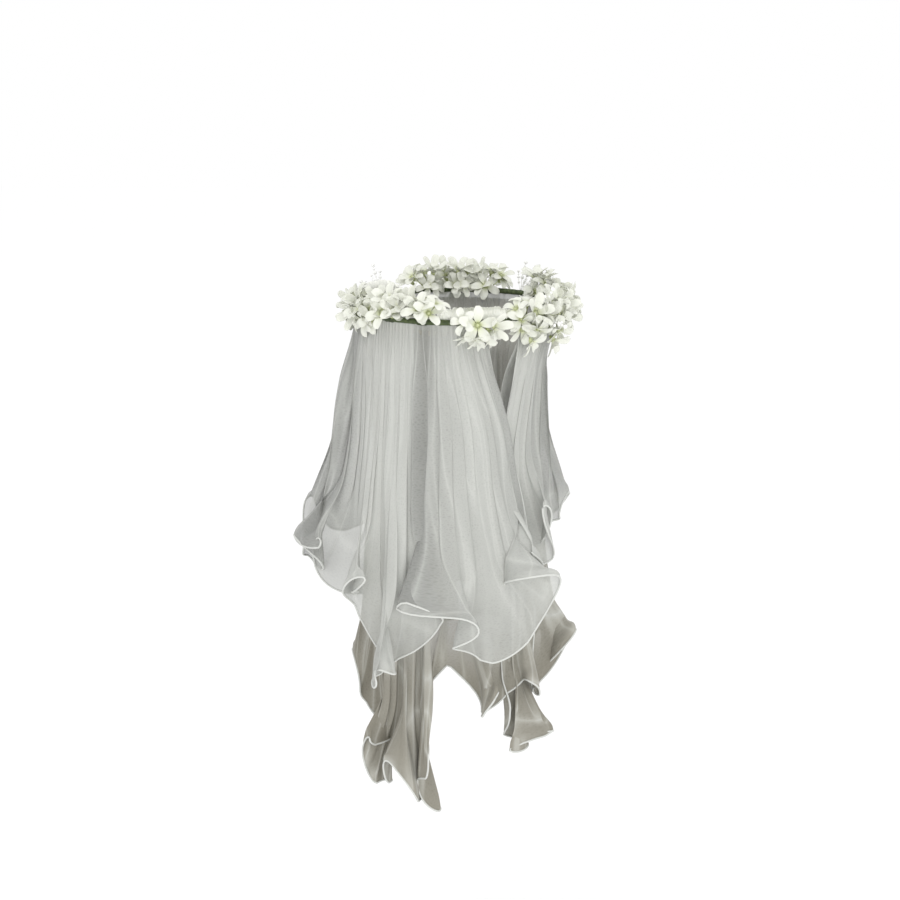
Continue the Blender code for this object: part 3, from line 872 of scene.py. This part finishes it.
def mark_throat(mesh):
    """The green of the throat fades out along each petal."""
    places = np.zeros(len(mesh.vertices) * 3, np.float32)
    mesh.vertices.foreach_get("co", places)
    reach = np.linalg.norm(places.reshape(-1, 3) - [0.0, 0.0, 0.001], axis=1)
    mark(mesh, "throat", 1.0 - ease((reach - 0.0020) / 0.0100))


def within(angle, sector):
    return sector[0] < angle < sector[1]


def flower_seat(node):
    """Where a flower's stem leaves the hoop, where its foot is, its facing and where a petal points."""
    places = np.array([vertex.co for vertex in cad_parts[node].data.vertices])
    from_hoop = np.hypot(np.hypot(places[:, 0], places[:, 1]) - HOOP_RADIUS, places[:, 2])
    foot = Vector(places[from_hoop < from_hoop.min() + 0.002].mean(axis=0))
    facing = (Vector(places.mean(axis=0)) - foot).normalized()
    far = Vector(places[from_hoop.argmax()]) - foot
    side = (far - far.dot(facing) * facing).normalized()
    root = foot - facing * STEM_LENGTH
    # The flowers at the two sides are bent in over the hoop, those at the far side and the near left up.
    outward = Vector((foot.x, foot.y, 0.0)).normalized()
    to_left, to_right, to_far = max(0.0, -outward.x), max(0.0, outward.x), max(0.0, outward.y)
    foot -= outward * (0.0075 * to_left + 0.004 * to_right)
    foot.z += 0.0055 * to_far
    facing = (facing + Vector((0.0, -0.60, 0.35)) * to_far).normalized()
    if within(polar(foot), RAISED_FLOWERS):
        foot.z += 0.0050
        facing = (facing + UP * 0.35).normalized()
    return root, foot, facing, side


def set_down(model, matrix):
    """A copy of a model, with its own mesh, put in place in that mesh."""
    copy = bpy.data.objects.new(model.name + "_copy", model.data.copy())
    copy.data.transform(matrix)
    bpy.context.scene.collection.objects.link(copy)
    return copy


def joined(pieces):
    bpy.ops.object.select_all(action="DESELECT")
    for piece in pieces:
        piece.select_set(True)
    bpy.context.view_layer.objects.active = pieces[0]
    if len(pieces) > 1:
        bpy.ops.object.join()
    return bpy.context.object


def facing_matrix(place, facing, side):
    side = (side - side.dot(facing) * facing).normalized()
    return Matrix.Translation(place) @ Matrix((side, facing.cross(side), facing)).transposed().to_4x4()


def plant_flowers(finish):
    """Every flower's cluster: a main bloom, a smaller one to each side, and one more in the fullest parts."""
    # How wide the petals open, how much they rise and droop, and how far each is twisted.
    shapes = (
        (1.0, 0.62, 0.30, 8.0),
        (1.04, 0.42, 0.42, -9.0),
        (0.96, 0.85, 0.20, 10.0),
        (0.90, 1.35, 0.35, 6.0),
        (0.94, 1.05, 0.75, -12.0),
    )
    open_shapes = 3
    models = [petal_star(*shape) for shape in shapes]
    for model in models:
        mark_throat(model.data)
    rng = np.random.default_rng(5)
    names = sorted(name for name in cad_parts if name.startswith("flower"))
    for count, name in enumerate(names):
        _, foot, facing, side = flower_seat(name)
        angle = polar(foot)
        outward = Vector((foot.x, foot.y, 0.0)).normalized()
        along = Vector((-outward.y, outward.x, 0.0))
        far_side = foot.y > 0.02
        upright = Vector()
        if far_side:
            upright = Vector((0.0, -0.9, 0.7))
        elif within(angle, RAISED_FLOWERS):
            upright = UP * 0.3

        size = 1.0 + 0.07 * math.sin(count * 2.1)
        seat = facing_matrix(foot - facing * 0.0030, facing, side)
        model = models[(count * 7 + count // 3) % open_shapes]
        blooms = [set_down(model, seat @ Matrix.Scale(size, 4))]
        for way in (-1.0, 1.0):
            shift = along * way * rng.uniform(0.006, 0.011) + UP * rng.uniform(-0.003, 0.003)
            tip = along * way * rng.uniform(0.35, 0.8) + UP * rng.uniform(-0.4, 0.4)
            turned = (facing + tip + upright).normalized()
            spin = Matrix.Rotation(rng.uniform(0.0, 1.25), 4, "Z")
            model = models[int(rng.integers(0, len(models)))]
            seat = facing_matrix(foot + shift - facing * 0.0045, turned, side)
            blooms.append(set_down(model, seat @ spin @ Matrix.Scale(rng.uniform(0.80, 0.98), 4)))

        if far_side:
            turned = (UP * rng.uniform(0.5, 0.9) - outward + along * rng.uniform(-0.7, 0.7)).normalized()
            place = outward * (HOOP_RADIUS - 0.003) + along * rng.uniform(-0.009, 0.009) + UP * 0.002
            model = models[int(rng.integers(0, len(models)))]
            size = Matrix.Scale(rng.uniform(0.78, 0.92), 4)
            blooms.append(set_down(model, facing_matrix(place, turned, along) @ size))
        if within(angle, TOP_BLOOMS):
            turned = (outward * 0.5 + UP * 0.9 + along * rng.uniform(-0.5, 0.5)).normalized()
            place = outward * HOOP_RADIUS + along * rng.uniform(-0.008, 0.008)
            model = models[int(rng.integers(0, len(models)))]
            blooms.append(set_down(model, facing_matrix(place, turned, along) @ Matrix.Scale(0.92, 4)))
        if within(angle, HANGING_BLOOMS):
            turned = (outward + UP * -0.9 + along * rng.uniform(-0.5, 0.5)).normalized()
            place = foot + along * rng.uniform(-0.006, 0.006) + UP * -0.010
            model = models[int(rng.integers(0, open_shapes))]
            blooms.append(set_down(model, facing_matrix(place, turned, along) @ Matrix.Scale(0.94, 4)))
        joined(blooms)
        finished("silk_" + name, finish, "petal_silk", name)
    for model in models:
        bpy.data.objects.remove(model)


def mark_bound(mesh, value):
    """How far the stems have gone over to tape: 0 for bare green, 1 for tape."""
    mark(mesh, "bound", np.full(len(mesh.vertices), value))


def stem_model():
    """A wire stem with a swelling calyx at its end, up +Z from the middle of the hoop."""
    bpy.ops.mesh.primitive_cylinder_add(
        vertices=10, radius=0.0007, depth=STEM_LENGTH, location=(0.0, 0.0, STEM_LENGTH / 2)
    )
    bpy.ops.object.transform_apply(location=True)
    bpy.ops.object.mode_set(mode="EDIT")
    calyx_foot, calyx_middle, calyx_top = 0.62, 0.80, 1.0
    for level in (calyx_foot, calyx_middle):
        bpy.ops.mesh.select_all(action="SELECT")
        bpy.ops.mesh.bisect(plane_co=(0.0, 0.0, STEM_LENGTH * level), plane_no=(0.0, 0.0, 1.0))
    for level, swell in ((calyx_middle, 2.0), (calyx_top, 2.5)):
        pick(lambda co: abs(co.z - STEM_LENGTH * level) < 0.0004)
        bpy.ops.transform.resize(value=(swell, swell, 1.0), center_override=(0.0, 0.0, STEM_LENGTH * level))
    bpy.ops.mesh.select_all(action="SELECT")
    bpy.ops.mesh.bevel(offset=0.0003, segments=1)
    bpy.ops.object.mode_set(mode="OBJECT")
    model = bpy.context.object
    mark_bound(model.data, 0.0)
    return model


def binding_model():
    """A short wrap of tape round the hoop, along +Y, with its ends drawn in."""
    turn = 0.0016
    bpy.ops.mesh.primitive_cylinder_add(
        vertices=20, radius=TAPE_RADIUS + 0.0006, depth=0.010, rotation=(math.radians(90.0), 0.0, 0.0)
    )
    bpy.ops.object.transform_apply(rotation=True)
    bpy.ops.object.mode_set(mode="EDIT")
    for place in (-2 * turn, -turn, 0.0, turn, 2 * turn):
        bpy.ops.mesh.select_all(action="SELECT")
        bpy.ops.mesh.bisect(plane_co=(0.0, place, 0.0), plane_no=(0.12, 1.0, 0.0))
    pick(lambda co: round(co.y / turn) % 2 == 0)
    bpy.ops.transform.resize(value=(1.10, 1.0, 1.10), center_override=ORIGIN)
    pick(lambda co: abs(co.y) > 0.0045)
    bpy.ops.transform.resize(value=(0.84, 1.0, 0.84), center_override=ORIGIN)
    bpy.ops.object.mode_set(mode="OBJECT")
    model = bpy.context.object
    mark_bound(model.data, 1.0)
    return model


def bind_stems(finish):
    """Each spray's stems, from the hoop to their flowers, with the tape that binds them to it."""
    stem, binding = stem_model(), binding_model()
    for name in sorted(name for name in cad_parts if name.startswith("spray_stem")):
        number = name.split("_")[-1]
        flowers = [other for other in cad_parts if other.startswith("flower_" + number)]
        parts = []
        for flower in flowers:
            root, foot, _, side = flower_seat(flower)
            reach = (foot - root).length / STEM_LENGTH
            seat = facing_matrix(root, (foot - root).normalized(), side)
            parts.append(set_down(stem, seat @ Matrix.Scale(reach, 4, UP)))
        low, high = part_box(name)
        around = Matrix.Rotation(math.radians(polar((low + high) / 2)), 4, "Z")
        parts.append(set_down(binding, around @ Matrix.Translation((HOOP_RADIUS, 0.0, 0.0))))
        joined(parts)
        finished("bound_" + name, finish, "stem_green", name)
    for model in (stem, binding):
        bpy.data.objects.remove(model)


# --- Bead sprays ----------------------------------------------------------------------------


def bead_stem_model():
    """A fine bent wire with pearls threaded along it, up +Z from the middle of the hoop."""

    def bend(level):
        return 0.0009 * math.sin(level * math.pi)

    bpy.ops.mesh.primitive_cylinder_add(
        vertices=8, radius=0.00035, depth=BEAD_REACH, location=(0.0, 0.0, BEAD_REACH / 2)
    )
    bpy.ops.object.transform_apply(location=True)
    parts = [bpy.context.object]
    bpy.ops.object.mode_set(mode="EDIT")
    for level in (0.25, 0.5, 0.75):
        height = BEAD_REACH * level
        bpy.ops.mesh.select_all(action="SELECT")
        bpy.ops.mesh.bisect(plane_co=(0.0, 0.0, height), plane_no=(0.0, 0.0, 1.0))
        pick(lambda co: abs(co.z - height) < 0.0002)
        bpy.ops.transform.translate(value=(bend(level), 0.0, 0.0))
    bpy.ops.object.mode_set(mode="OBJECT")
    for level, radius in ((0.5, 0.0017), (0.62, 0.0010), (0.75, 0.0019), (0.87, 0.0011), (1.0, 0.0018)):
        place = Vector((bend(level), 0.0, BEAD_REACH * level))
        bpy.ops.mesh.primitive_uv_sphere_add(segments=20, ring_count=12, radius=radius, location=place)
        bpy.ops.object.transform_apply(location=True)
        # Flattened a little where the wire goes through.
        bpy.ops.object.mode_set(mode="EDIT")
        pick(lambda co: abs(co.z - place.z) > radius * 0.97)
        bpy.ops.transform.resize(value=(1.0, 1.0, 0.96), center_override=tuple(place))
        bpy.ops.object.mode_set(mode="OBJECT")
        parts.append(bpy.context.object)
    return joined(parts)


def thread_beads(finish):
    """Each bead spray: two bunches of three beaded wires, the middle one the longest."""
    model = bead_stem_model()
    for number, (angle, lifts) in enumerate(BEAD_SPRAYS.items(), start=1):
        outward, along = hoop_out(angle), hoop_out(angle + 90.0)
        root = outward * HOOP_RADIUS
        parts = []
        for lift in lifts:
            tilt = math.radians(lift)
            rising = outward * math.cos(tilt) + UP * math.sin(tilt)
            for lean, size in ((0.0, 1.0), (-0.30, 0.80), (0.34, 0.72)):
                facing = (rising + along * lean).normalized()
                parts.append(set_down(model, facing_matrix(root, facing, along) @ Matrix.Scale(size, 4)))
        joined(parts)
        finished(f"pearl_spray_{number}", finish, "clear_bead", f"bead_spray_{number}")
    bpy.data.objects.remove(model)


# --- Build ----------------------------------------------------------------------------------

place_camera()
light_studio()
lay_floor()

silk = petal_silk()
green = stem_green()
satin = ivory_satin()
bead = pearl()
wire = bare_wire()

wrap_hoop(floral_tape())
lay_ribbon("satin_ribbon_near", 257.0, 303.0, 0.0025, 4, satin)
lay_ribbon("satin_ribbon_left", 127.0, 178.0, 0.0040, 9, satin)
plant_flowers(silk)
bind_stems(green)
thread_beads(bead)
hang_veil()

# The CAD pieces that are still shown, or lie under a visible one, take the same finishes.
looks = {"flower": silk, "spray": green, "bead": bead, "satin": satin, "hoop": wire, "wire": wire}
for name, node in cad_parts.items():
    look = looks.get(name.split("_")[0])
    if look:
        node.data.materials.clear()
        node.data.materials.append(look)
